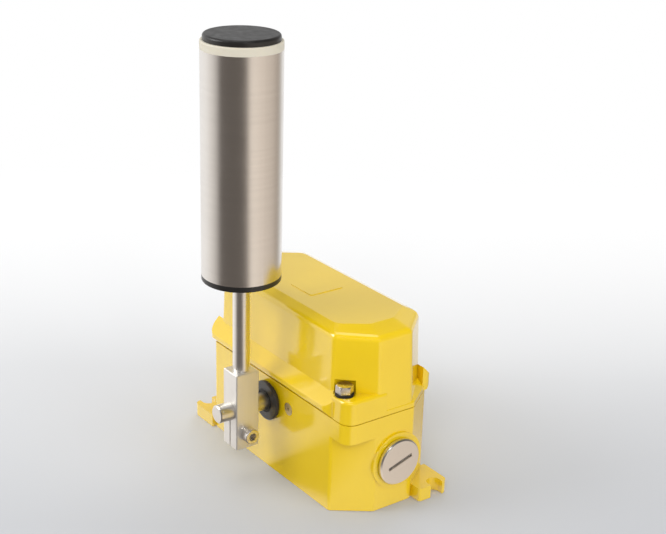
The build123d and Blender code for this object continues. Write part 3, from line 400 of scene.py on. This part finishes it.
camera = {
    "location": (0.66471, -0.4841, 0.45859),
    "look": (-0.74641, 0.55617, -0.36544),
    "right": (0.58893, 0.80775, 0.02645),
    "up": (-0.3099, 0.19548, 0.93046),
    "lens": 73.27,
    "sensor": 36.0,
    "clip": (0.01, 50.0),
}


def makeCamera():
    p = camera
    data = bpy.data.cameras.new("camera")
    data.sensor_width = p["sensor"]
    data.lens = p["lens"]
    data.clip_start, data.clip_end = p["clip"]
    made = bpy.data.objects.new("camera", data)
    bpy.context.scene.collection.objects.link(made)
    back = -Vector(p["look"])
    turn = Matrix((Vector(p["right"]), Vector(p["up"]), back)).transposed()
    made.matrix_world = Matrix.Translation(p["location"]) @ turn.to_4x4()
    bpy.context.scene.camera = made


makeCamera()
print("camera ready")


towards = Vector((0.8017, -0.5977, 0.0))  # level direction from the object to the camera
across = Vector((-towards.y, towards.x, 0.0))  # level direction to the picture's right

# what metal and gloss see round the object, by degrees from the direction of towards; a positive
# angle lies to the right: a light side on the left and behind, a dark one in front
surroundings = {
    "low": [
        (-180, (1.0, 1.0, 1.0)), (-108, (1.0, 0.98, 0.96)), (-84, (0.80, 0.76, 0.725)),
        (-66, (0.54, 0.505, 0.48)), (-56, (0.137, 0.119, 0.106)), (0, (0.130, 0.113, 0.100)),
        (15, (0.19, 0.165, 0.145)), (27, (0.94, 0.845, 0.75)), (42, (0.88, 0.785, 0.69)),
        (56, (0.80, 0.70, 0.61)), (100, (0.60, 0.52, 0.45)), (118, (0.42, 0.36, 0.30)),
        (130, (0.54, 0.50, 0.46)), (150, (1.0, 1.0, 1.0)), (180, (1.0, 1.0, 1.0)),
    ],
    "high": [
        (-180, (0.52, 0.52, 0.52)), (-134, (1.0, 1.0, 1.0)), (-98, (1.0, 1.0, 1.0)),
        (-76, (0.55, 0.55, 0.55)), (-50, (0.16, 0.15, 0.14)), (120, (0.16, 0.15, 0.14)),
        (160, (0.50, 0.50, 0.50)), (180, (0.52, 0.52, 0.52)),
    ],
    "highRise": (-0.02, 0.14),  # height of a direction over which low goes over into high
    "ceilingRise": (0.50, 0.68),  # and over which that goes over into the ceiling
    "ceiling": (0.10, 0.10, 0.10),
    "centre": (0.0, -0.03, 0.12),  # place on the object that the floor's directions start from
}


def rampOf(tree, factor, stops):
    # stops: list of (angle in degrees, colour)
    ramp = addNode(tree, "ShaderNodeValToRGB")
    elements = ramp.color_ramp.elements
    while len(elements) > 1:
        elements.remove(elements[-1])
    for index, (angle, colour) in enumerate(stops):
        place = (angle + 180.0) / 360.0
        element = elements[0] if index == 0 else elements.new(place)
        element.position = place
        element.color = (*colour, 1.0)
    tree.links.new(factor, ramp.inputs["Fac"])
    return ramp.outputs["Color"]


def directionTone(tree, direction):
    # tone of the surroundings in a direction
    p = surroundings
    angle = addNode(tree, "ShaderNodeMath", operation="ARCTAN2")
    tree.links.new(dotWith(tree, direction, across), angle.inputs[0])
    tree.links.new(dotWith(tree, direction, towards), angle.inputs[1])
    share = ranged(tree, angle.outputs["Value"], 0.0, 1.0, -math.pi, math.pi)
    height = addNode(tree, "ShaderNodeSeparateXYZ")
    tree.links.new(direction, height.inputs["Vector"])
    rise = ranged(tree, height.outputs["Z"], 0.0, 1.0, *p["highRise"])
    ceiling = ranged(tree, height.outputs["Z"], 0.0, 1.0, *p["ceilingRise"])
    sides = blended(tree, rise, rampOf(tree, share, p["low"]), rampOf(tree, share, p["high"]))
    return blended(tree, ceiling, sides, p["ceiling"])


def seesSurroundings(tree):
    # one for the rays that metal, gloss and glass send out
    path = addNode(tree, "ShaderNodeLightPath")
    return larger(tree, path.outputs["Is Glossy Ray"], path.outputs["Is Transmission Ray"])


def mixedShaders(tree, factor, first, second):
    mix = addNode(tree, "ShaderNodeMixShader")
    tree.links.new(factor, mix.inputs["Fac"])
    tree.links.new(first, mix.inputs[1])
    tree.links.new(second, mix.inputs[2])
    return mix.outputs["Shader"]


paperFloor = {
    "halfSide": 6.0,
    "drop": 0.0003,  # just under the feet
    # painted shade: the paper's colour is grey towards the camera and white further off
    "nearPaintedShade": (0.520, 0.530, 0.552),
    "paintedShadeRange": (-0.10, 0.56),  # metres along the view over which the painted shade on the paper goes from grey to white
    "glowRange": (0.12, 0.62),  # and over which it goes over into the white backdrop
    "glowRadius": (0.80, 1.40),  # the same all round, by distance from the object
    "roughness": 0.9,
}


def makeFloor():
    p = paperFloor
    mesh = bpy.data.meshes.new("floor")
    bm = bmesh.new()
    bmesh.ops.create_grid(bm, x_segments=1, y_segments=1, size=p["halfSide"])
    bmesh.ops.translate(bm, verts=bm.verts, vec=(0, 0, -p["drop"]))
    bm.to_mesh(mesh)
    bm.free()
    floor = bpy.data.objects.new("floor", mesh)
    bpy.context.scene.collection.objects.link(floor)
    material, tree, shader = startMaterial("palePaper")
    here = addNode(tree, "ShaderNodeTexCoord").outputs["Object"]
    along = dotWith(tree, here, -towards)
    # painted shade on the paper: grey towards the camera, going over into white further off
    paintedShadeFade = ranged(tree, along, 0.0, 1.0, *p["paintedShadeRange"])
    behind = ranged(tree, along, 0.0, 1.0, *p["glowRange"])
    around = ranged(tree, lengthOf(tree, here), 0.0, 1.0, *p["glowRadius"])
    tree.links.new(blended(tree, paintedShadeFade, p["nearPaintedShade"], (1.0, 1.0, 1.0)), shader.inputs["Base Color"])
    shader.inputs["Roughness"].default_value = p["roughness"]
    shader.inputs["Specular IOR Level"].default_value = 0.0
    glow = addNode(tree, "ShaderNodeEmission")
    glow.inputs["Color"].default_value = (1, 1, 1, 1)
    far = larger(tree, behind, around)
    paper = mixedShaders(tree, far, shader.outputs["BSDF"], glow.outputs["Emission"])
    unit = addNode(tree, "ShaderNodeVectorMath", operation="NORMALIZE")
    tree.links.new(shiftedBy(tree, here, surroundings["centre"]), unit.inputs[0])
    seen = addNode(tree, "ShaderNodeEmission")
    tree.links.new(directionTone(tree, unit.outputs["Vector"]), seen.inputs["Color"])
    whole = mixedShaders(tree, seesSurroundings(tree), paper, seen.outputs["Emission"])
    tree.links.new(whole, tree.nodes["Material Output"].inputs["Surface"])
    floor.data.materials.append(material)


makeFloor()
print("floor ready")


worldLight = 0.5  # strength of the even light from all round


def makeWorld():
    world = bpy.data.worlds.new("studio")
    bpy.context.scene.world = world
    world.use_nodes = True
    tree = world.node_tree
    light = tree.nodes["Background"]
    light.inputs["Color"].default_value = (1, 1, 1, 1)
    light.inputs["Strength"].default_value = worldLight
    backdrop = addNode(tree, "ShaderNodeBackground")  # white, for the camera alone
    backdrop.inputs["Color"].default_value = (1, 1, 1, 1)
    reflected = addNode(tree, "ShaderNodeBackground")
    direction = addNode(tree, "ShaderNodeTexCoord").outputs["Generated"]
    tree.links.new(directionTone(tree, direction), reflected.inputs["Color"])
    glossy = seesSurroundings(tree)
    lit = mixedShaders(tree, glossy, light.outputs["Background"], reflected.outputs["Background"])
    path = addNode(tree, "ShaderNodeLightPath")
    whole = mixedShaders(tree, path.outputs["Is Camera Ray"], lit, backdrop.outputs["Background"])
    tree.links.new(whole, tree.nodes["World Output"].inputs["Surface"])


makeWorld()
print("world ready")


lampTarget = (0.0, 0.0, 0.1)

# name, place, side in metres, power in watts, and whether gloss shows the lamp
lamps = [
    ("leftSoftbox", (-0.55, -1.05, 0.80), 0.70, 7.6, True),
    ("frontSoftbox", (0.95, -0.95, 1.00), 0.50, 6.6, False),
    ("cornerSoftbox", (1.27, -0.44, 1.00), 0.16, 1.6, True),
    ("rightFill", (1.30, 0.35, 0.60), 0.90, 6.6, False),
    ("topSoftbox", (-0.25, -0.10, 1.40), 0.90, 3.4, True),
    ("backFill", (-0.80, 1.15, 0.85), 0.90, 5.0, False),
]


def makeLamp(name, place, side, power, inGloss):
    light = bpy.data.lights.new(name, "AREA")
    light.shape = "SQUARE"
    light.size = side
    light.energy = power
    lamp = bpy.data.objects.new(name, light)
    bpy.context.scene.collection.objects.link(lamp)
    lamp.location = place
    lamp.rotation_euler = (Vector(lampTarget) - Vector(place)).to_track_quat("-Z", "Y").to_euler()
    lamp.visible_glossy = inGloss


for name, place, side, power, inGloss in lamps:
    makeLamp(name, place, side, power, inGloss)
bpy.context.scene.view_settings.view_transform = "Standard"
print("lamps ready:", len(lamps))
